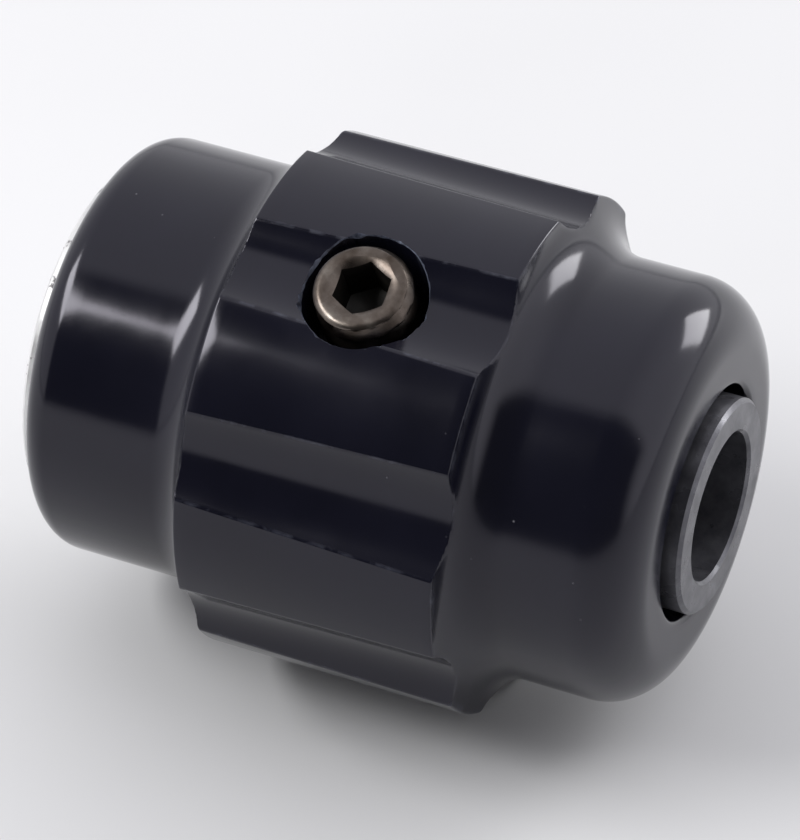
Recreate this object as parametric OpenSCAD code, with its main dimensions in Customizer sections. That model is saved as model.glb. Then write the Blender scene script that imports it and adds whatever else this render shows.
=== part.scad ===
// Enclosed Oldham coupling with a fluted hand grip, lying on one of its lands.
// The shaft axis is the X axis. The origin is where the clamp screw's axis meets it.
// Every module draws along a local Z axis, which on_shaft() lays along +X.

/* [Shell] */
// Diameter of the fluted band over its lands
band_d = 33.3; // [32.6:0.1:34.5]
// Length of the fluted band
band_l = 17.2; // [16:0.1:19]
// Distance from the clamp screw's axis to the middle of the band
band_offset = 0.25; // [0:0.05:0.5]
// Diameter of the two plain cylinders
barrel_d = 27.1; // [26.8:0.1:27.6]
// Distance from the clamp screw to the drive end of the moulding
drive_end_x = 20.05; // [19.8:0.05:21]
// Distance from the clamp screw to the driven end of the moulding
driven_end_x = 20.7; // [20.4:0.05:21]
// Shoulder radius at the drive end
drive_shoulder_r = 3.8; // [2.5:0.1:4.5]
// Shoulder radius at the driven end
driven_shoulder_r = 1.9; // [1:0.1:1.9]

/* [Flutes] */
// Number of flutes round the band
flute_count = 8; // [7:1:9]
// Radius of the round-bottomed flute
flute_r = 5.9; // [5:0.1:6.5]
// Depth of a flute below the lands
flute_depth = 1.2; // [0.9:0.05:1.6]
// Diameter of the screw's clearance hole in the moulding
screw_hole_d = 7.8; // [7:0.1:8.2]

/* [Shafts and hubs] */
// Bore for the drive and driven shafts
bore_d = 9.55; // [9.53:0.01:9.6]
// Chamfer at the mouths of the bores
bore_chamfer = 0.2; // [0.1:0.05:0.4]
// Outer diameter of the drive hub's barrel
hub_d = 16.8; // [16:0.1:17.2]
// Outer diameter of the drive hub's nose
nose_d = 13.8; // [13:0.1:14.6]
// Height of the drive hub's nose above the moulding
nose_h = 0.9; // [0.3:0.05:1.2]
// Outer diameter of the driven hub's barrel
driven_barrel_d = 14; // [13:0.1:14.2]
// Width of the keyway in the driven hub
key_w = 2.4; // [2:0.1:3]
// Depth of the keyway below the bore wall
key_depth = 1.2; // [0.8:0.1:1.4]

/* [Oldham stack] */
// Largest slide of each tongue in its slot, either way
travel = 0.8; // [0.3:0.1:0.8]
// Diameter of the floating disc
disc_d = 20.4; // [18:0.1:20.4]
// Thickness of the floating disc
disc_t = 5.4; // [5:0.1:5.8]
// Width of the tongues
tongue_w = 4; // [3:0.1:5]
// Height of the tongues
tongue_h = 1.8; // [1.4:0.1:1.9]
// Clearance of a tongue on each side of its slot
slot_clear = 0.04; // [0.02:0.01:0.08]
// Thickness of each hub flange
flange_t = 3; // [2.8:0.1:3.2]
// Diameter of the hole through the floating disc
disc_hole_d = 11.4; // [11.2:0.1:12]

/* [Closing parts] */
// Diameter of the end cover's rim
cover_d = 22.9; // [22.6:0.1:23.2]
// Height of the end cover's rim above the moulding
cover_h = 0.7; // [0.6:0.05:1.2]
// Depth of the end cover's spigot inside the moulding
spigot_l = 1.95; // [1.9:0.05:2]
// Height of the driven hub's nose above the end cover
driven_nose_h = 0.6; // [0.3:0.1:1]
// Thickness of the thrust washer
thrust_t = 0.8; // [0.6:0.1:0.9]
// Thickness of the disc spring's sheet
spring_t = 0.25; // [0.2:0.05:0.3]
// Thickness of the dust seal
seal_t = 0.6; // [0.4:0.1:0.7]
// Diameter of the drive pins
pin_d = 2; // [1.5:0.1:2.2]
// Number of drive pins between the hub and the moulding
pin_count = 2; // [2:1:4]

/* [Clamp screw] */
// Diameter of the screw over its thread
screw_d = 6.2; // [6:0.05:6.25]
// Length of the screw
screw_l = 11.1; // [10.5:0.1:11.2]
// Radius at which the screw's socket end stands
screw_top_r = 16.85; // [16.6:0.05:17.5]
// Key size across the flats of the socket
socket_af = 3.2; // [3:0.1:3.5]
// Depth of the socket
socket_depth = 3.2; // [2.5:0.1:4]
// Turn of the socket from the shaft axis, in degrees
socket_turn = 34; // [0:1:59]
// Chamfer round the socket end
screw_chamfer = 0.45; // [0.3:0.05:0.6]

/* [Hidden] */
$fn = 96;
eps = 0.01;

// Moulding
band_r = band_d / 2;
barrel_r = barrel_d / 2;
fillet_r = band_r - barrel_r;
band_lo = band_offset - band_l / 2;
band_hi = band_offset + band_l / 2;
flute_pitch = 360 / flute_count;
flute_centre_r = band_r - flute_depth + flute_r;
screw_angle = -3.5 * flute_pitch;
fit_gap = 0.05;
cup_r = 11.2;
lip_t = 3.4;
lip_z = drive_end_x - lip_t;
nose_gap = 0.6;

// Stack, from the drive hub's flange towards the end cover
face_gap = 0.2;
hub_seat_z = -5.3;
hub_face_z = hub_seat_z - flange_t;
disc_hi = hub_face_z - face_gap;
disc_lo = disc_hi - disc_t;
slot_depth = tongue_h + face_gap;
driven_face_z = disc_lo - face_gap;
driven_back_z = driven_face_z - flange_t;
cover_face_z = -driven_end_x - cover_h;
driven_end_z = cover_face_z - driven_nose_h;
spigot_z = -driven_end_x + spigot_l;
diagonal_travel = travel * sqrt(2);
running_gap = 0.1;

// Radii that leave room for the travel
hub_flange_r = cup_r - running_gap;
driven_flange_r = cup_r - diagonal_travel - running_gap;
driven_barrel_r = driven_barrel_d / 2;
cover_hole_r = driven_barrel_r + diagonal_travel + running_gap;
groove_wall = 0.6;
groove_r = cup_r - groove_wall;
groove_w = seal_t + face_gap;
groove_z = -driven_end_x + running_gap;
seal_r = groove_r - diagonal_travel - running_gap / 2;
tongue_end_r = 9.4;
washer_gap = 0.05;
pin_circle_r = (hub_d / 2 + hub_flange_r) / 2;
pin_reach = 2.3;
pin_gap = 0.02;
screw_gap = 0.05;
cup_point_r = 2;
cup_point_depth = 0.8;

shell_colour = [0.09, 0.095, 0.13];
steel_colour = [0.33, 0.33, 0.36];
pale_colour = [0.82, 0.82, 0.8];
screw_colour = [0.42, 0.37, 0.32];
disc_colour = [0.9, 0.88, 0.82];
spring_colour = [0.55, 0.56, 0.6];
seal_colour = [0.1, 0.1, 0.1];

// Lays the local Z axis along +X, with local X pointing down
module on_shaft() {
    rotate([0, 90, 0]) children();
}

// Turns the local X axis to the clamp screw's direction
module at_screw() {
    rotate([0, 0, screw_angle]) children();
}

// Rectangle in the turning profile: radii first, then heights
module band2d(r0, r1, z0, z1) {
    translate([r0, z0]) square([r1 - r0, z1 - z0]);
}

// The waste outside a round shoulder at the corner (r, z); up is 1 or -1
module shoulder_waste(r, z, radius, up) {
    difference() {
        translate([r - radius, up > 0 ? z - radius : z - eps])
            square([radius + eps, radius + eps]);
        translate([r - radius, z - up * radius]) circle(radius);
    }
}

// Quarter-round hollow from the barrel up to the band's edge at height z
module fillet2d(z, up) {
    difference() {
        band2d(barrel_r - eps, band_r, min(z, z + up * fillet_r), max(z, z + up * fillet_r));
        translate([band_r, z + up * fillet_r]) circle(fillet_r);
    }
}

// Tube between two radii and two heights
module tube(r0, r1, z0, z1) {
    rotate_extrude() band2d(r0, r1, z0, z1);
}

// Cone that breaks the edge of a bore's mouth at height z; up is the way out
module bore_mouth(z, up) {
    r = bore_d / 2;
    rotate_extrude()
        polygon([
            [0, z + up * eps],
            [r + bore_chamfer + eps, z + up * eps],
            [r, z - up * bore_chamfer],
            [0, z - up * bore_chamfer],
        ]);
}

// Straight tongue across a hub face, from z0 to z1, along local Y
module tongue(z0, z1) {
    intersection() {
        translate([-tongue_w / 2, -tongue_end_r, z0])
            cube([tongue_w, 2 * tongue_end_r, z1 - z0]);
        tube(0, tongue_end_r, z0 - eps, z1 + eps);
    }
}

// Slot across a disc face, from z0 to z1, along local Y
module slot(z0, z1) {
    width = tongue_w + 2 * slot_clear;
    translate([-width / 2, -disc_d, z0]) cube([width, 2 * disc_d, z1 - z0]);
}

module shell_outline() {
    difference() {
        union() {
            difference() {
                band2d(0, barrel_r, -driven_end_x, drive_end_x);
                shoulder_waste(barrel_r, drive_end_x, drive_shoulder_r, 1);
                shoulder_waste(barrel_r, -driven_end_x, driven_shoulder_r, -1);
            }
            band2d(0, band_r, band_lo, band_hi);
            fillet2d(band_lo, -1);
            fillet2d(band_hi, 1);
        }
        band2d(-eps, cup_r, -driven_end_x - eps, hub_seat_z);
        band2d(-eps, hub_d / 2 + fit_gap, hub_seat_z - eps, lip_z);
        band2d(-eps, nose_d / 2 + nose_gap, lip_z - eps, drive_end_x + eps);
    }
}

// Moulded body: two barrels and the fluted band, hollow for the hub and the stack
module shell() {
    color(shell_colour) on_shaft() difference() {
        rotate_extrude() shell_outline();
        for (i = [0 : flute_count - 1])
            rotate([0, 0, (i + 0.5) * flute_pitch])
                translate([flute_centre_r, 0, band_lo - 2 * fillet_r])
                    cylinder(r = flute_r, h = band_l + 4 * fillet_r);
        at_screw() rotate([0, 90, 0]) cylinder(d = screw_hole_d, h = band_d);
        pins(pin_d / 2 + pin_gap, face_gap);
    }
}

// Drive pins, or their holes when a gap is given
module pins(r, extra) {
    for (i = [0 : pin_count - 1])
        rotate([0, 0, 90 + i * 360 / pin_count])
            translate([pin_circle_r, 0, hub_seat_z - pin_reach - extra])
                cylinder(r = r, h = 2 * (pin_reach + extra));
}

module drive_pins() {
    color(spring_colour) on_shaft() pins(pin_d / 2, 0);
}

// Hub on the drive shaft: flange and tongue inside, nose showing at the drive end
module drive_hub() {
    nose_z = drive_end_x + nose_h;
    nose_break = 0.25;
    color(steel_colour) on_shaft() difference() {
        union() {
            rotate_extrude() difference() {
                union() {
                    band2d(0, hub_flange_r, hub_face_z, hub_seat_z);
                    band2d(0, hub_d / 2, hub_seat_z - eps, lip_z - fit_gap);
                    band2d(0, nose_d / 2, hub_seat_z, nose_z);
                }
                polygon([
                    [nose_d / 2 + eps, nose_z + eps],
                    [nose_d / 2 + eps, nose_z - nose_break],
                    [nose_d / 2 - nose_break, nose_z + eps],
                ]);
            }
            tongue(hub_face_z - tongue_h, hub_face_z + eps);
        }
        translate([0, 0, hub_face_z - 2 * tongue_h]) cylinder(d = bore_d, h = 2 * drive_end_x);
        bore_mouth(nose_z, 1);
        at_screw() rotate([0, 90, 0]) cylinder(d = screw_d + 2 * screw_gap, h = hub_d);
        pins(pin_d / 2 + pin_gap, face_gap);
    }
}

// Socket set screw, standing proud of its flute
module clamp_screw() {
    tip_r = screw_top_r - screw_l;
    r = screw_d / 2;
    color(screw_colour) on_shaft() at_screw() rotate([0, 90, 0]) difference() {
        rotate_extrude()
            polygon([
                [0, tip_r + cup_point_depth],
                [cup_point_r, tip_r],
                [r, tip_r + r - cup_point_r],
                [r, screw_top_r - screw_chamfer],
                [r - screw_chamfer, screw_top_r],
                [0, screw_top_r],
            ]);
        translate([0, 0, screw_top_r - socket_depth])
            rotate([0, 0, socket_turn])
                cylinder(r = socket_af / sqrt(3), h = socket_depth + eps, $fn = 6);
    }
}

// Floating disc with a slot in each face, the two at right angles
module centre_disc() {
    disc_break = 0.4;
    r = disc_d / 2;
    color(disc_colour) on_shaft() difference() {
        rotate_extrude()
            polygon([
                [disc_hole_d / 2, disc_lo],
                [r - disc_break, disc_lo],
                [r, disc_lo + disc_break],
                [r, disc_hi - disc_break],
                [r - disc_break, disc_hi],
                [disc_hole_d / 2, disc_hi],
            ]);
        slot(disc_hi - slot_depth, disc_hi + eps);
        rotate([0, 0, 90]) slot(disc_lo - eps, disc_lo + slot_depth);
    }
}

// Hub on the driven shaft, with its tongue at right angles to the drive hub's
module driven_hub() {
    through = driven_face_z + tongue_h - driven_end_z + 2 * eps;
    color(steel_colour) on_shaft() difference() {
        union() {
            rotate_extrude() {
                band2d(0, driven_flange_r, driven_back_z, driven_face_z);
                band2d(0, driven_barrel_r, driven_end_z, driven_back_z + eps);
            }
            rotate([0, 0, 90]) tongue(driven_face_z - eps, driven_face_z + tongue_h);
        }
        translate([0, 0, driven_end_z - eps]) cylinder(d = bore_d, h = through);
        bore_mouth(driven_end_z, -1);
        translate([0, -key_w / 2, driven_end_z - eps])
            cube([bore_d / 2 + key_depth, key_w, through]);
    }
}

module thrust_washer() {
    color(disc_colour) on_shaft()
        tube(
            driven_barrel_r + washer_gap, driven_flange_r - running_gap,
            driven_back_z - washer_gap - thrust_t, driven_back_z - washer_gap
        );
}

// Coned spring between the end cover and the thrust washer
module disc_spring() {
    low = spigot_z + washer_gap;
    rise = driven_back_z - 2 * washer_gap - thrust_t - low - spring_t;
    inner = cover_hole_r + running_gap;
    outer = cup_r - running_gap;
    color(spring_colour) on_shaft() rotate_extrude()
        polygon([
            [outer, low],
            [outer, low + spring_t],
            [inner, low + rise + spring_t],
            [inner, low + rise],
        ]);
}

module dust_seal() {
    middle = groove_z + groove_w / 2;
    color(seal_colour) on_shaft()
        tube(driven_barrel_r + washer_gap, seal_r, middle - seal_t / 2, middle + seal_t / 2);
}

// Pale cover pressed into the driven end, with a groove for the seal
module end_cover() {
    cover_r = cover_d / 2;
    cover_break = 0.2;
    color(pale_colour) on_shaft() rotate_extrude() difference() {
        polygon([
            [cover_hole_r, cover_face_z],
            [cover_r - cover_break, cover_face_z],
            [cover_r, cover_face_z + cover_break],
            [cover_r, -driven_end_x],
            [cup_r - washer_gap, -driven_end_x],
            [cup_r - washer_gap, spigot_z],
            [cover_hole_r, spigot_z],
        ]);
        band2d(cover_hole_r - eps, groove_r, groove_z, groove_z + groove_w);
    }
}

shell();
drive_hub();
drive_pins();
clamp_screw();
centre_disc();
driven_hub();
thrust_washer();
disc_spring();
dust_seal();
end_cover();
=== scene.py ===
"""Enclosed Oldham coupling with a fluted hand grip, lying on a pale studio floor."""

import math

import bmesh
import bpy
from mathutils import Matrix, Vector, noise


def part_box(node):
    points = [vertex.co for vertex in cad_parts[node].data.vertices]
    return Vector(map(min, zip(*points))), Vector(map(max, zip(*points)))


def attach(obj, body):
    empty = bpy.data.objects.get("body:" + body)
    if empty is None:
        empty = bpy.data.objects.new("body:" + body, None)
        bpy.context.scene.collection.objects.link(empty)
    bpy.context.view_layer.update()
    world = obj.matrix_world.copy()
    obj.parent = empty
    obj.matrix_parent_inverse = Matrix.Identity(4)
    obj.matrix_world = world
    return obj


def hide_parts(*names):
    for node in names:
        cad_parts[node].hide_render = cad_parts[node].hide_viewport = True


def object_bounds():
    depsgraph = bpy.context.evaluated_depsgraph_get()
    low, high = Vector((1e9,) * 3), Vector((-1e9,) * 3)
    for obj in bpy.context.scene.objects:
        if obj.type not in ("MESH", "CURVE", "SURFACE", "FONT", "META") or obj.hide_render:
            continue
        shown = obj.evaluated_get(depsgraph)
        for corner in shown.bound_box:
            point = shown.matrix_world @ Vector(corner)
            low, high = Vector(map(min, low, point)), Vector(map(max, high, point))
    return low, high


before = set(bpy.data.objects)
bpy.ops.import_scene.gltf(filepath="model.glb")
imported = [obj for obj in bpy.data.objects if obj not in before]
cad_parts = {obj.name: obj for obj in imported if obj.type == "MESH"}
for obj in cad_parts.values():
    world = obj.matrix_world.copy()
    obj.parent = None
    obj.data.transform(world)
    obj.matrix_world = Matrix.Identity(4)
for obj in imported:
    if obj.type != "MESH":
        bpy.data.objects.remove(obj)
CAD_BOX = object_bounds()
MM = 0.001

# ---------------------------------------------------------------- measures, in metres
SHELL_LO, SHELL_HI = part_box("shell")

BAND_R = SHELL_HI.z
BARREL_R = 13.55 * MM
FILLET_R = BAND_R - BARREL_R
BAND_LO = -8.35 * MM
BAND_HI = 8.85 * MM
DRIVE_END = SHELL_HI.x
DRIVEN_END = SHELL_LO.x
DRIVE_SHOULDER_R = 3.8 * MM
DRIVEN_SHOULDER_R = 1.9 * MM
CUP_R = 11.2 * MM
HUB_BORE_R = 8.45 * MM
HUB_SEAT_X = -5.3 * MM
LIP_X = DRIVE_END - 3.4 * MM
NOSE_HOLE_R = 7.5 * MM

FLUTES = 8
FLUTE_PITCH = 2 * math.pi / FLUTES
FLUTE_R = 5.9 * MM
FLUTE_CENTRE_R = BAND_R - 1.2 * MM + FLUTE_R
FLUTE_TAPER = math.tan(math.radians(1.6))
FIRST_FLUTE = -math.pi / 2 + FLUTE_PITCH / 2
SCREW_ANGLE = FIRST_FLUTE + 3 * FLUTE_PITCH
ARRIS_R = 0.16 * MM
ARRIS_BLEND = 0.13 * MM

SCREW_HOLE_R = 3.9 * MM
SCREW_R = 3.1 * MM
SCREW_TOP = 16.85 * MM
SCREW_LENGTH = 11.1 * MM
SCREW_PITCH = 1.27 * MM
THREAD_DEPTH = 0.42 * MM
THREAD_STEP = 0.1 * MM
SCREW_CROWN_R = 0.62 * MM
POINT_R = 2.0 * MM
POINT_HEIGHT = 0.9 * MM
POINT_SLOPE = 1.1
SOCKET_CORNER_R = 3.2 * MM / math.sqrt(3)
SOCKET_DEPTH = 3.2 * MM
SOCKET_TURN = math.radians(34)


def outward(angle):
    """Unit vector across the shaft axis: 0 faces the front, 90 degrees faces up."""
    return Vector((0, -math.cos(angle), math.sin(angle)))


SCREW_DIR = outward(SCREW_ANGLE)


# ---------------------------------------------------------------- mesh helpers
def mesh_object(name, verts, faces):
    mesh = bpy.data.meshes.new(name)
    mesh.from_pydata(verts, [], faces)
    mesh.validate()
    obj = bpy.data.objects.new(name, mesh)
    bpy.context.scene.collection.objects.link(obj)
    tidy_normals(obj)
    return obj


def tidy_normals(obj):
    bm = bmesh.new()
    bm.from_mesh(obj.data)
    bmesh.ops.remove_doubles(bm, verts=bm.verts, dist=0.002 * MM)
    bmesh.ops.recalc_face_normals(bm, faces=bm.faces)
    bm.to_mesh(obj.data)
    bm.free()


def smooth(obj, degrees=32):
    obj.data.shade_smooth()
    obj.data.set_sharp_from_angle(angle=math.radians(degrees))


def apply_modifiers(obj):
    graph = bpy.context.evaluated_depsgraph_get()
    mesh = bpy.data.meshes.new_from_object(obj.evaluated_get(graph))
    obj.modifiers.clear()
    obj.data = mesh


def cut(obj, cutter):
    """Subtracts cutter from obj and removes it."""
    modifier = obj.modifiers.new("cut", "BOOLEAN")
    modifier.operation = "DIFFERENCE"
    modifier.solver = "EXACT"
    modifier.object = cutter
    bpy.context.view_layer.update()
    apply_modifiers(obj)
    bpy.data.objects.remove(cutter)


def cut_with_own_material(obj, cutter, outside, inside):
    """Subtracts cutter, and gives the faces it marked with index 1 the inside material."""
    for piece in (obj, cutter):
        piece.data.materials.append(outside)
        piece.data.materials.append(inside)
    cut(obj, cutter)


def arc(centre_x, centre_r, radius, start, end, steps):
    """Points (x, r) of an arc; angle 0 points along +X and 90 degrees away from the axis."""
    points = []
    for i in range(steps + 1):
        a = math.radians(start + (end - start) * i / steps)
        points.append((centre_x + radius * math.cos(a), centre_r + radius * math.sin(a)))
    return points


def line(start, end, steps):
    """Points between two (x, r) points, without the ends."""
    points = []
    for i in range(1, steps):
        t = i / steps
        points.append((start[0] + (end[0] - start[0]) * t, start[1] + (end[1] - start[1]) * t))
    return points


def turned(name, profile, angles_at, radius_at):
    """Closed ring turned from a closed (x, r) profile. radius_at may cut the radius back."""
    verts = []
    for x, r in profile:
        for a in angles_at(x):
            verts.append(Vector((x, 0, 0)) + radius_at(r, a, x) * outward(a))
    rows, columns = len(profile), len(verts) // len(profile)
    faces = []
    for i in range(rows):
        for j in range(columns):
            ni, nj = (i + 1) % rows, (j + 1) % columns
            faces.append((i * columns + j, i * columns + nj, ni * columns + nj, ni * columns + j))
    return mesh_object(name, verts, faces)


# ---------------------------------------------------------------- the moulded shell
def flute_centre(x):
    """Radius of a flute's centre line, which comes in slightly towards the drive end."""
    held = min(max(x, BAND_LO), BAND_HI)
    return FLUTE_CENTRE_R - FLUTE_TAPER * (held - (BAND_LO + BAND_HI) / 2)


def flute_edge(x):
    """Half angle between a flute's centre and its arris."""
    centre = flute_centre(x)
    top = BAND_R**2 + centre**2 - FLUTE_R**2
    return math.acos(top / (2 * BAND_R * centre))


def flute_radius(angle, x):
    """Radius at which the flute's surface lies under this angle, or None on a land."""
    off = (angle - FIRST_FLUTE + FLUTE_PITCH / 2) % FLUTE_PITCH - FLUTE_PITCH / 2
    centre = flute_centre(x)
    across = centre * math.sin(off)
    if abs(across) >= FLUTE_R:
        return None
    return centre * math.cos(off) - math.sqrt(FLUTE_R**2 - across**2)


def soft_min(a, b, blend):
    h = max(blend - abs(a - b), 0) / blend
    return min(a, b) - h * h * blend / 4


def shell_radius(r, angle, x):
    """The turned radius, cut back by the flutes with a slightly rounded arris."""
    if r < BARREL_R - 0.5 * ARRIS_R:
        return r
    flute = flute_radius(angle, x)
    return r if flute is None else soft_min(r, flute, ARRIS_BLEND)


def shell_angles(x):
    """Columns round the shell, close together at the arrises."""
    edge = flute_edge(x)
    near = math.radians(1.1)
    stops = [-FLUTE_PITCH / 2, -edge - near, -edge + near, edge - near, edge + near]
    counts = [8, 10, 24, 10, 8]
    offsets = []
    for start, end, count in zip(stops, stops[1:] + [FLUTE_PITCH / 2], counts):
        offsets += [start + (end - start) * i / count for i in range(count)]
    return [FIRST_FLUTE + k * FLUTE_PITCH + o for k in range(FLUTES) for o in offsets]


def shell_profile():
    """Closed outline of half the shell, from the cup's mouth over the outside and back inside."""
    lip = 0.25 * MM
    rim = 0.35 * MM
    mouth = arc(DRIVEN_END + lip, CUP_R + lip, lip, 270, 180, 4)
    shoulder_lo = arc(
        DRIVEN_END + DRIVEN_SHOULDER_R, BARREL_R - DRIVEN_SHOULDER_R, DRIVEN_SHOULDER_R, 180, 90, 16
    )
    fillet_lo = arc(BAND_LO - FILLET_R, BAND_R, FILLET_R, 270, 357, 20)
    edge_lo = arc(BAND_LO + ARRIS_R, BAND_R - ARRIS_R, ARRIS_R, 180, 90, 5)
    edge_hi = arc(BAND_HI - ARRIS_R, BAND_R - ARRIS_R, ARRIS_R, 90, 0, 5)
    fillet_hi = arc(BAND_HI + FILLET_R, BAND_R, FILLET_R, 183, 270, 20)
    shoulder_hi = arc(
        DRIVE_END - DRIVE_SHOULDER_R, BARREL_R - DRIVE_SHOULDER_R, DRIVE_SHOULDER_R, 90, 0, 24
    )
    rim_hi = arc(DRIVE_END - rim, NOSE_HOLE_R + rim, rim, 0, -90, 6)
    inside = [
        (LIP_X, NOSE_HOLE_R),
        (LIP_X, HUB_BORE_R),
        (HUB_SEAT_X, HUB_BORE_R),
        (HUB_SEAT_X, CUP_R),
    ]
    outline = mouth + shoulder_lo + line(shoulder_lo[-1], fillet_lo[0], 8) + fillet_lo
    outline += edge_lo + line(edge_lo[-1], edge_hi[0], 26) + edge_hi + fillet_hi
    outline += line(fillet_hi[-1], shoulder_hi[0], 6) + shoulder_hi
    outline += line(shoulder_hi[-1], rim_hi[0], 4) + rim_hi
    return outline + inside


def surface_height(point):
    """Height of the band's surface along the screw's direction, at a point round its hole."""
    flat = point - SCREW_DIR * point.dot(SCREW_DIR)
    across = SCREW_DIR.cross(Vector((1, 0, 0))).dot(flat)
    land = math.sqrt(BAND_R**2 - across**2)
    if abs(across) >= FLUTE_R:
        return land
    return min(land, flute_centre(point.x) - math.sqrt(FLUTE_R**2 - across**2))


def screw_hole_cutter():
    """Drill for the screw's hole. It flares at the mouth by a little that varies, as chips do."""
    steps = 144
    floor_r = HUB_BORE_R - 1.5 * MM
    past_surface = 0.08 * MM
    past_band = 2 * MM
    side = SCREW_DIR.cross(Vector((1, 0, 0)))
    rings = []
    for i in range(steps):
        a = 2 * math.pi * i / steps
        ray = math.cos(a) * Vector((1, 0, 0)) + math.sin(a) * side
        top = surface_height(ray * SCREW_HOLE_R)
        rough = noise.noise(ray * 3.1) + 0.6 * noise.noise(ray * 9.3) + 0.3 * noise.noise(ray * 23)
        chip = (0.10 + 0.30 * max(0.0, rough)) * MM
        rings.append(
            (
                ray * SCREW_HOLE_R + SCREW_DIR * floor_r,
                ray * SCREW_HOLE_R + SCREW_DIR * (top - chip),
                ray * (SCREW_HOLE_R + chip * 0.9) + SCREW_DIR * (top + past_surface),
                ray * (SCREW_HOLE_R + chip * 0.9 + 0.02 * MM) + SCREW_DIR * (BAND_R + past_band),
            )
        )
    verts = [level for ring in rings for level in ring]
    levels = len(rings[0])
    faces = []
    for i in range(steps):
        j = (i + 1) % steps
        for k in range(levels - 1):
            faces.append((i * levels + k, j * levels + k, j * levels + k + 1, i * levels + k + 1))
    faces.append([i * levels for i in range(steps)])
    faces.append([i * levels + levels - 1 for i in reversed(range(steps))])
    cutter = mesh_object("screw_hole_cutter", verts, faces)
    for face in cutter.data.polygons:
        facing = abs(face.normal.dot(SCREW_DIR))
        face.material_index = 1 if 0.05 < facing < 0.95 else 0
    return cutter


def mark_wear_and_edge_highlight(obj):
    """Stores how near each point is to an arris, for the paler edge lines of the moulding: partly wear,
    partly a painted highlight along the arrises.
    """
    # The stored amount makes the arrises paler: partly wear, partly a painted highlight.
    wear_and_edge_highlight = obj.data.attributes.new("wear_and_edge_highlight", "FLOAT", "POINT")
    reach = 0.2 * MM
    for vertex in obj.data.vertices:
        co = vertex.co
        r = math.hypot(co.y, co.z)
        amount = 0.0
        if BARREL_R < r and BAND_LO - FILLET_R < co.x < BAND_HI + FILLET_R:
            turned_r = BAND_R
            beyond = max(BAND_LO - co.x, co.x - BAND_HI)
            if beyond > 0:
                turned_r -= math.sqrt(max(0, FILLET_R**2 - (FILLET_R - beyond) ** 2))
            flute = flute_radius(math.atan2(co.z, -co.y), co.x)
            if flute is not None:
                amount = max(amount, 1 - abs(turned_r - flute) / reach)
            if r > BAND_R - 2 * reach:
                amount = max(amount, 1 - abs(beyond) / reach)
        wear_and_edge_highlight.data[vertex.index].value = max(0.0, min(1.0, amount))


def build_shell():
    shell = turned("moulded_shell", shell_profile(), shell_angles, shell_radius)
    cut_with_own_material(shell, screw_hole_cutter(), shell_material(), chipped_highlight_material())
    mark_wear_and_edge_highlight(shell)
    smooth(shell, 38)
    return shell


# ---------------------------------------------------------------- the clamp screw
def screw_radius(height, angle):
    """Radius of the threaded screw, with its tapered point and its rounded socket end."""
    turn = (height / SCREW_PITCH - angle / (2 * math.pi)) % 1.0
    groove = THREAD_DEPTH * (1 - abs(2 * turn - 1)) ** 1.1
    radius = SCREW_R - groove
    from_top = SCREW_LENGTH - height
    if from_top < SCREW_CROWN_R:
        sunk = SCREW_CROWN_R - from_top
        crown = math.sqrt(max(0, SCREW_CROWN_R**2 - sunk**2))
        radius = min(radius, SCREW_R - SCREW_CROWN_R + crown)
    if height < POINT_HEIGHT:
        radius = min(radius, POINT_R + height * POINT_SLOPE)
    return radius


def screw_blank():
    """Solid threaded blank along local Z, standing on its tip at height 0."""
    columns = 96
    crown_steps = 12
    last = SCREW_LENGTH - SCREW_CROWN_R
    heights = [THREAD_STEP * i for i in range(math.ceil(last / THREAD_STEP))]
    for i in range(crown_steps + 1):
        heights.append(last + SCREW_CROWN_R * math.sin(math.pi / 2 * i / crown_steps))
    verts = []
    for h in heights:
        for j in range(columns):
            a = 2 * math.pi * j / columns
            r = screw_radius(h, a)
            verts.append((r * math.cos(a), r * math.sin(a), h))
    faces = []
    for i in range(len(heights) - 1):
        for j in range(columns):
            nj = (j + 1) % columns
            faces.append((i * columns + j, i * columns + nj, (i + 1) * columns + nj, (i + 1) * columns + j))
    faces.append(list(reversed(range(columns))))
    top = (len(heights) - 1) * columns
    faces.append([top + j for j in range(columns)])
    return mesh_object("socket_screw", verts, faces)


def prism(name, sides, levels, turn=0.0):
    """Closed prism or cone along Z through (radius, height) levels."""
    verts = []
    for radius, height in levels:
        for j in range(sides):
            a = turn + 2 * math.pi * j / sides
            verts.append((radius * math.cos(a), radius * math.sin(a), height))
    faces = [list(reversed(range(sides)))]
    for i in range(len(levels) - 1):
        for j in range(sides):
            nj = (j + 1) % sides
            faces.append((i * sides + j, i * sides + nj, (i + 1) * sides + nj, (i + 1) * sides + j))
    faces.append([(len(levels) - 1) * sides + j for j in range(sides)])
    return mesh_object(name, verts, faces)


def screw_frame():
    """Matrix that stands local Z on the screw's direction, with local X along the shaft."""
    side = SCREW_DIR.cross(Vector((1, 0, 0)))
    turn = Matrix((Vector((1, 0, 0)), side, SCREW_DIR)).transposed().to_4x4()
    return Matrix.Translation(SCREW_DIR * (SCREW_TOP - SCREW_LENGTH)) @ turn


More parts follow.
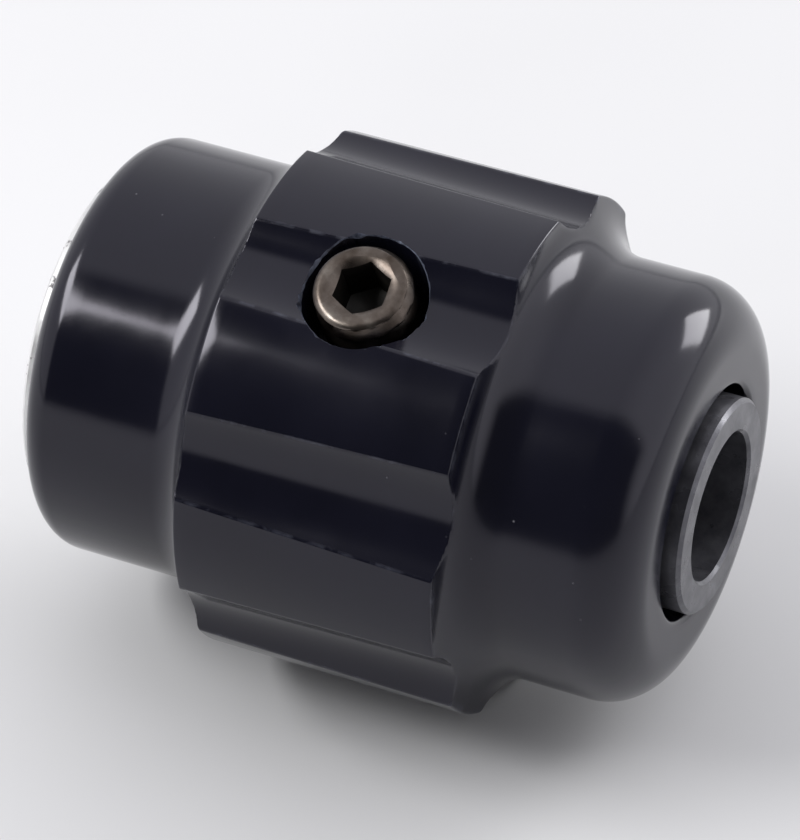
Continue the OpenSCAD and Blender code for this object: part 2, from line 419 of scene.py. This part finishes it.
def build_screw():
    screw = screw_blank()
    floor = SCREW_LENGTH - SOCKET_DEPTH
    above = SCREW_LENGTH + 1 * MM
    socket = prism(
        "socket_cutter",
        6,
        [(SOCKET_CORNER_R * 0.3, floor - 0.5 * MM), (SOCKET_CORNER_R, floor), (SOCKET_CORNER_R, above)],
        SOCKET_TURN,
    )
    for face in socket.data.polygons:
        face.material_index = 1
    cut_with_own_material(screw, socket, screw_material(), socket_material())
    mouth_r = SOCKET_CORNER_R * 1.12
    mouth_depth = 0.42 * MM
    cut(
        screw,
        prism(
            "mouth_cutter",
            64,
            [
                (mouth_r - 1.7 * mouth_depth, SCREW_LENGTH - mouth_depth),
                (mouth_r, SCREW_LENGTH),
                (mouth_r, above),
            ],
        ),
    )
    cut(screw, prism("cup_cutter", 48, [(1.75 * MM, -1 * MM), (1.6 * MM, 0), (0.1 * MM, 0.7 * MM)]))
    screw.data.transform(screw_frame())
    smooth(screw, 40)
    return screw


# ---------------------------------------------------------------- the CAD parts' edges
def soften(node, width, material, segments=3):
    """Rounds a CAD part's edges a little and gives it its material."""
    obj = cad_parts[node]
    bevel = obj.modifiers.new("soft_edges", "BEVEL")
    bevel.width = width
    bevel.segments = segments
    bevel.limit_method = "ANGLE"
    bevel.angle_limit = math.radians(50)
    give(obj, material)


def give(obj, material):
    obj.data.materials.clear()
    obj.data.materials.append(material)


# ---------------------------------------------------------------- materials
class Nodes:
    """Small helper that adds nodes to one material and links them."""

    def __init__(self, name):
        self.material = bpy.data.materials.new(name)
        self.material.use_nodes = True
        self.tree = self.material.node_tree
        self.shader = self.tree.nodes["Principled BSDF"]

    def add(self, kind, **inputs):
        node = self.tree.nodes.new(kind)
        for key, value in inputs.items():
            node.inputs[key.replace("_", " ")].default_value = value
        return node

    def link(self, out, into):
        self.tree.links.new(out, into)

    def set(self, **inputs):
        for key, value in inputs.items():
            self.shader.inputs[key.replace("_", " ")].default_value = value

    def place(self):
        return self.add("ShaderNodeTexCoord").outputs["Object"]

    def noise(self, scale, detail=4.0, roughness=0.5):
        node = self.add("ShaderNodeTexNoise", Scale=scale, Detail=detail, Roughness=roughness)
        self.link(self.place(), node.inputs["Vector"])
        return node.outputs["Fac"]

    def stretched_noise(self, scale, stretch, detail=3.0):
        mapping = self.add("ShaderNodeMapping", Scale=stretch)
        self.link(self.place(), mapping.inputs["Vector"])
        node = self.add("ShaderNodeTexNoise", Scale=scale, Detail=detail)
        self.link(mapping.outputs["Vector"], node.inputs["Vector"])
        return node.outputs["Fac"]

    def ramp(self, factor, stops):
        """Colour ramp; stops are (position, colour or grey level)."""
        node = self.tree.nodes.new("ShaderNodeValToRGB")
        elements = node.color_ramp.elements
        while len(elements) < len(stops):
            elements.new(0.5)
        for element, (position, colour) in zip(elements, stops):
            if not hasattr(colour, "__len__"):
                colour = (colour, colour, colour)
            element.position = position
            element.color = (*colour, 1)
        self.link(factor, node.inputs["Fac"])
        return node.outputs["Color"]

    def mix(self, factor, a, b):
        """Colour a where factor is 0, and b where it is 1. Each may be a colour or an output."""
        node = self.tree.nodes.new("ShaderNodeMix")
        node.data_type = "RGBA"
        self.link(factor, node.inputs[0])
        for value, socket in ((a, node.inputs[6]), (b, node.inputs[7])):
            if hasattr(value, "__len__"):
                socket.default_value = (*value, 1)
            else:
                self.link(value, socket)
        return node.outputs[2]

    def math(self, operation, a, b):
        node = self.tree.nodes.new("ShaderNodeMath")
        node.operation = operation
        for value, socket in ((a, node.inputs[0]), (b, node.inputs[1])):
            if isinstance(value, (int, float)):
                socket.default_value = value
            else:
                self.link(value, socket)
        return node.outputs[0]

    def bump(self, height, distance, strength=1.0, onto=None):
        node = self.add("ShaderNodeBump", Distance=distance, Strength=strength)
        self.link(height, node.inputs["Height"])
        if onto:
            self.link(onto, node.inputs["Normal"])
        return node.outputs["Normal"]

    def specks(self, scale, size):
        """1 at small scattered specks, 0 elsewhere."""
        cells = self.add("ShaderNodeTexVoronoi", Scale=scale, Randomness=1.0)
        self.link(self.place(), cells.inputs["Vector"])
        return self.ramp(cells.outputs["Distance"], [(0.0, 1.0), (size, 0.0)])

    def wire(self, **outputs):
        """Links outputs to the shader's inputs, such as Base_Color=output."""
        for key, value in outputs.items():
            self.link(value, self.shader.inputs[key.replace("_", " ")])
        return self.material


def shell_material():
    """Glossy moulded phenolic: nearly black navy, with faint ripples, dust, and paler arrises that are
    partly wear and partly a painted highlight.
    """
    n = Nodes("moulded_phenolic")
    n.set(IOR=1.45, Specular_Tint=(0.93, 0.91, 1.0, 1))
    cloud = n.noise(140, 5)
    body = n.ramp(cloud, [(0.3, (0.0038, 0.0040, 0.0085)), (0.72, (0.0060, 0.0062, 0.0125))])
    edge_wear_and_highlight_node = n.tree.nodes.new("ShaderNodeAttribute")
    edge_wear_and_highlight_node.attribute_name = "wear_and_edge_highlight"
    patchy = n.ramp(n.noise(900, 6, 0.65), [(0.46, 0.0), (0.72, 1.0)])
    edge = n.math("MULTIPLY", n.ramp(edge_wear_and_highlight_node.outputs["Fac"], [(0.35, 0.0), (0.95, 1.0)]), patchy)
    dusty = n.math("MULTIPLY", n.specks(620, 0.055), n.ramp(n.noise(90, 2), [(0.55, 0.0), (0.64, 1.0)]))
    # Paler bluish colour along the arrises: partly edge wear, partly a painted highlight along the edges.
    colour = n.mix(edge, body, (0.05, 0.053, 0.07))
    colour = n.mix(dusty, colour, (0.25, 0.25, 0.27))
    smear = n.ramp(n.noise(75, 6, 0.6), [(0.35, 0.11), (0.7, 0.19)])
    rough = n.mix(edge, smear, (0.26, 0.26, 0.26))
    ripple = n.bump(n.noise(170, 2, 0.4), 0.05 * MM, 0.35)
    grain = n.bump(n.noise(2600, 3), 0.004 * MM, 0.25, ripple)
    scratch = n.ramp(n.stretched_noise(900, (0.12, 1.0, 1.0)), [(0.70, 0.0), (0.78, 1.0)])
    normal = n.bump(scratch, 0.006 * MM, 0.25, grain)
    return n.wire(Base_Color=colour, Roughness=rough, Normal=normal)


def chipped_highlight_material():
    """Broken phenolic at the drilled hole: rough and uneven, coloured pale blue partly as a painted
    highlight on the chipped rim.
    """
    n = Nodes("chipped_phenolic_painted_highlight")
    n.set(IOR=1.5)
    # Pale blue mottling: partly the chipped surface, partly a painted highlight on the hole's rim.
    colour = n.ramp(n.noise(1500, 5, 0.7), [(0.35, (0.03, 0.034, 0.055)), (0.7, (0.26, 0.29, 0.38))])
    rough = n.ramp(n.noise(900), [(0.3, 0.28), (0.8, 0.6)])
    return n.wire(Base_Color=colour, Roughness=rough, Normal=n.bump(n.noise(2200, 5), 0.03 * MM, 0.8))


def screw_material():
    """Alloy steel browned by heat and oil, brighter in scattered patches."""
    n = Nodes("browned_steel")
    n.set(Metallic=1.0)
    patina = n.ramp(
        n.noise(650, 5, 0.6),
        [(0.3, (0.06, 0.047, 0.038)), (0.55, (0.11, 0.092, 0.08)), (0.78, (0.19, 0.17, 0.15))],
    )
    rough = n.ramp(n.noise(1100, 4), [(0.3, 0.24), (0.75, 0.42)])
    normal = n.bump(n.noise(2400, 4), 0.012 * MM, 0.5)
    return n.wire(Base_Color=patina, Roughness=rough, Normal=normal)


def socket_material():
    """Inside of the screw's socket, coloured nearly black as painted shade in the recess."""
    n = Nodes("painted_shade_socket")
    n.set(Metallic=0.4)
    # Near-black colour inside the socket: painted shade of the recess.
    colour = n.ramp(n.noise(900, 4), [(0.3, (0.008, 0.007, 0.006)), (0.75, (0.028, 0.024, 0.02))])
    rough = n.ramp(n.noise(700, 4), [(0.3, 0.38), (0.75, 0.6)])
    return n.wire(Base_Color=colour, Roughness=rough, Normal=n.bump(n.noise(2000, 3), 0.01 * MM, 0.5))


def hub_material():
    """Dark sintered steel with a fine turned finish."""
    n = Nodes("sintered_steel")
    n.set(Metallic=0.55, IOR=1.6)
    colour = n.ramp(n.noise(800, 5, 0.6), [(0.3, (0.06, 0.06, 0.07)), (0.72, (0.14, 0.14, 0.155))])
    rough = n.ramp(n.noise(500, 4), [(0.3, 0.24), (0.75, 0.4)])
    turning = n.bump(n.stretched_noise(2400, (1.0, 0.03, 0.03)), 0.006 * MM, 0.5)
    normal = n.bump(n.specks(1500, 0.12), 0.01 * MM, 0.5, turning)
    return n.wire(Base_Color=colour, Roughness=rough, Normal=normal)


def cover_material():
    """Pale satin metal whose rim is stained dark in patches."""
    n = Nodes("pale_cover_metal")
    n.set(Metallic=0.6)
    clean = n.ramp(n.noise(300, 4), [(0.3, (0.66, 0.66, 0.66)), (0.75, (0.84, 0.84, 0.83))])
    stains = n.ramp(n.noise(520, 5, 0.7), [(0.56, 0.0), (0.63, 1.0)])
    colour = n.mix(stains, clean, (0.07, 0.065, 0.07))
    rough = n.ramp(n.noise(900, 4), [(0.3, 0.28), (0.75, 0.48)])
    normal = n.bump(n.noise(1800, 4), 0.012 * MM, 0.5)
    return n.wire(Base_Color=colour, Roughness=rough, Normal=normal)


def acetal_material():
    """Natural acetal: milky, slightly waxy, with a fine bumpy surface."""
    n = Nodes("natural_acetal")
    n.set(IOR=1.48, Subsurface_Weight=0.15, Subsurface_Scale=0.8 * MM)
    colour = n.ramp(n.noise(260, 4), [(0.3, (0.72, 0.70, 0.63)), (0.75, (0.82, 0.80, 0.74))])
    rough = n.ramp(n.noise(700, 4), [(0.3, 0.34), (0.75, 0.5)])
    return n.wire(Base_Color=colour, Roughness=rough, Normal=n.bump(n.noise(1600, 4), 0.01 * MM, 0.5))


def spring_material():
    """Blued spring steel."""
    n = Nodes("blued_steel")
    n.set(Metallic=1.0)
    colour = n.ramp(n.noise(500, 4), [(0.3, (0.16, 0.18, 0.25)), (0.75, (0.32, 0.33, 0.40))])
    rough = n.ramp(n.noise(900, 4), [(0.3, 0.22), (0.75, 0.36)])
    return n.wire(Base_Color=colour, Roughness=rough, Normal=n.bump(n.noise(2000, 3), 0.008 * MM, 0.4))


def pin_material():
    """Ground steel with fine rings."""
    n = Nodes("ground_steel")
    n.set(Metallic=1.0)
    colour = n.ramp(n.noise(600, 4), [(0.3, (0.42, 0.42, 0.44)), (0.75, (0.58, 0.58, 0.6))])
    rough = n.ramp(n.noise(900, 4), [(0.3, 0.18), (0.75, 0.32)])
    rings = n.bump(n.stretched_noise(3000, (1.0, 0.05, 0.05)), 0.005 * MM, 0.5)
    return n.wire(Base_Color=colour, Roughness=rough, Normal=rings)


def rubber_material():
    """Nitrile rubber with a dry bloom."""
    n = Nodes("nitrile_rubber")
    n.set(IOR=1.45)
    colour = n.ramp(n.noise(500, 5), [(0.3, (0.012, 0.012, 0.012)), (0.8, (0.045, 0.045, 0.046))])
    rough = n.ramp(n.noise(700, 4), [(0.3, 0.6), (0.75, 0.82)])
    return n.wire(Base_Color=colour, Roughness=rough, Normal=n.bump(n.noise(2600, 4), 0.02 * MM, 0.6))


def floor_material():
    n = Nodes("studio_floor")
    n.set(Roughness=0.65)
    colour = n.ramp(n.noise(18, 3), [(0.3, (0.69, 0.69, 0.695)), (0.7, (0.72, 0.72, 0.725))])
    return n.wire(Base_Color=colour)


# ---------------------------------------------------------------- studio
TENT_LEVEL = 0.95
TENT_RIGHT_LEVEL = 1.3
OPENING_LEVEL = 0.06
TENT_TINT = (0.985, 0.98, 1.02, 1)


def add_camera():
    """The camera stands in front, above and a little to the drive side, far away."""
    azimuth = math.radians(25.18)
    elevation = math.radians(40.43)
    roll = math.radians(-1.31)
    distance = 319.7 * MM
    aim = Vector((-0.674, 0.005, -0.215)) * MM
    back = Vector(
        (
            math.sin(azimuth) * math.cos(elevation),
            -math.cos(azimuth) * math.cos(elevation),
            math.sin(elevation),
        )
    )
    right = Vector((math.cos(azimuth), math.sin(azimuth), 0))
    up = back.cross(right)
    turned_right = math.cos(roll) * right + math.sin(roll) * up
    turned_up = math.cos(roll) * up - math.sin(roll) * right
    data = bpy.data.cameras.new("camera")
    data.sensor_fit = "VERTICAL"
    data.sensor_height = 24
    data.lens = 145.69
    data.clip_start = 0.01
    data.clip_end = 20
    camera = bpy.data.objects.new("camera", data)
    rotation = Matrix((turned_right, turned_up, back)).transposed()
    camera.matrix_world = Matrix.Translation(aim + distance * back) @ rotation.to_4x4()
    bpy.context.scene.collection.objects.link(camera)
    bpy.context.scene.camera = camera


def add_floor():
    size = 3.0
    height = CAD_BOX[0][2]
    corners = [(-size, -size, height), (size, -size, height), (size, size, height), (-size, size, height)]
    floor = mesh_object("floor", corners, [(0, 1, 2, 3)])
    floor.data.materials.append(floor_material())


def add_softbox(name, place, size, power, aim=(0, 0, 0)):
    data = bpy.data.lights.new(name, "AREA")
    data.shape = "RECTANGLE"
    data.size, data.size_y = size
    data.energy = power
    light = bpy.data.objects.new(name, data)
    light.location = place
    light.rotation_euler = (Vector(place) - Vector(aim)).to_track_quat("Z", "Y").to_euler()
    bpy.context.scene.collection.objects.link(light)


def add_world():
    """A pale tent round the part, brighter to the right, with a dark opening at the front."""
    world = bpy.data.worlds.new("studio")
    world.use_nodes = True
    tree = world.node_tree
    way = tree.nodes.new("ShaderNodeTexCoord").outputs["Generated"]

    def level(direction, stops):
        dot = tree.nodes.new("ShaderNodeVectorMath")
        dot.operation = "DOT_PRODUCT"
        tree.links.new(way, dot.inputs[0])
        dot.inputs[1].default_value = direction
        ramp = tree.nodes.new("ShaderNodeMapRange")
        ramp.interpolation_type = "SMOOTHSTEP"
        tree.links.new(dot.outputs["Value"], ramp.inputs["Value"])
        for key, value in zip(("From Min", "From Max", "To Min", "To Max"), stops):
            ramp.inputs[key].default_value = value
        return ramp.outputs["Result"]

    def combine(operation, a, b):
        node = tree.nodes.new("ShaderNodeMath")
        node.operation = operation
        tree.links.new(a, node.inputs[0])
        tree.links.new(b, node.inputs[1])
        return node.outputs[0]

    opening_top = math.radians(72)
    over_opening = (0, math.sin(opening_top), math.cos(opening_top))
    above = level(over_opening, (-0.06, 0.10, OPENING_LEVEL, 1))
    right_of = level((1, 0, 0), (0.82, 1.0, OPENING_LEVEL, 1))
    left_of = level((-1, 0, 0), (0.46, 0.57, OPENING_LEVEL, 1))
    opening = combine("MAXIMUM", combine("MAXIMUM", above, right_of), left_of)
    wall = level((1, 0, 0), (-0.2, 0.7, TENT_LEVEL, TENT_RIGHT_LEVEL))
    background = tree.nodes["Background"]
    background.inputs["Color"].default_value = TENT_TINT
    tree.links.new(combine("MULTIPLY", opening, wall), background.inputs["Strength"])
    bpy.context.scene.world = world


def add_studio():
    add_camera()
    add_floor()
    add_world()
    add_softbox("left_light", (-0.31, -0.18, 0.35), (0.30, 0.14), 1.5)
    add_softbox("right_light", (0.245, 0.39, 0.175), (0.20, 0.20), 0.9)


# ---------------------------------------------------------------- assembly
def add_shell():
    shell = build_shell()
    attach(shell, "housing")
    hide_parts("shell")


def add_screw():
    screw = build_screw()
    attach(screw, "screw")
    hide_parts("clamp_screw")


def finish_cad_parts():
    hub_steel = hub_material()
    acetal = acetal_material()
    soften("drive_hub", 0.08 * MM, hub_steel)
    soften("driven_hub", 0.08 * MM, hub_steel)
    soften("end_cover", 0.06 * MM, cover_material())
    soften("centre_disc", 0.08 * MM, acetal)
    soften("thrust_washer", 0.05 * MM, acetal)
    soften("disc_spring", 0.03 * MM, spring_material())
    soften("drive_pins", 0.1 * MM, pin_material())
    soften("dust_seal", 0.05 * MM, rubber_material())


bpy.context.scene.view_settings.view_transform = "Standard"
add_studio()
add_shell()
add_screw()
finish_cad_parts()
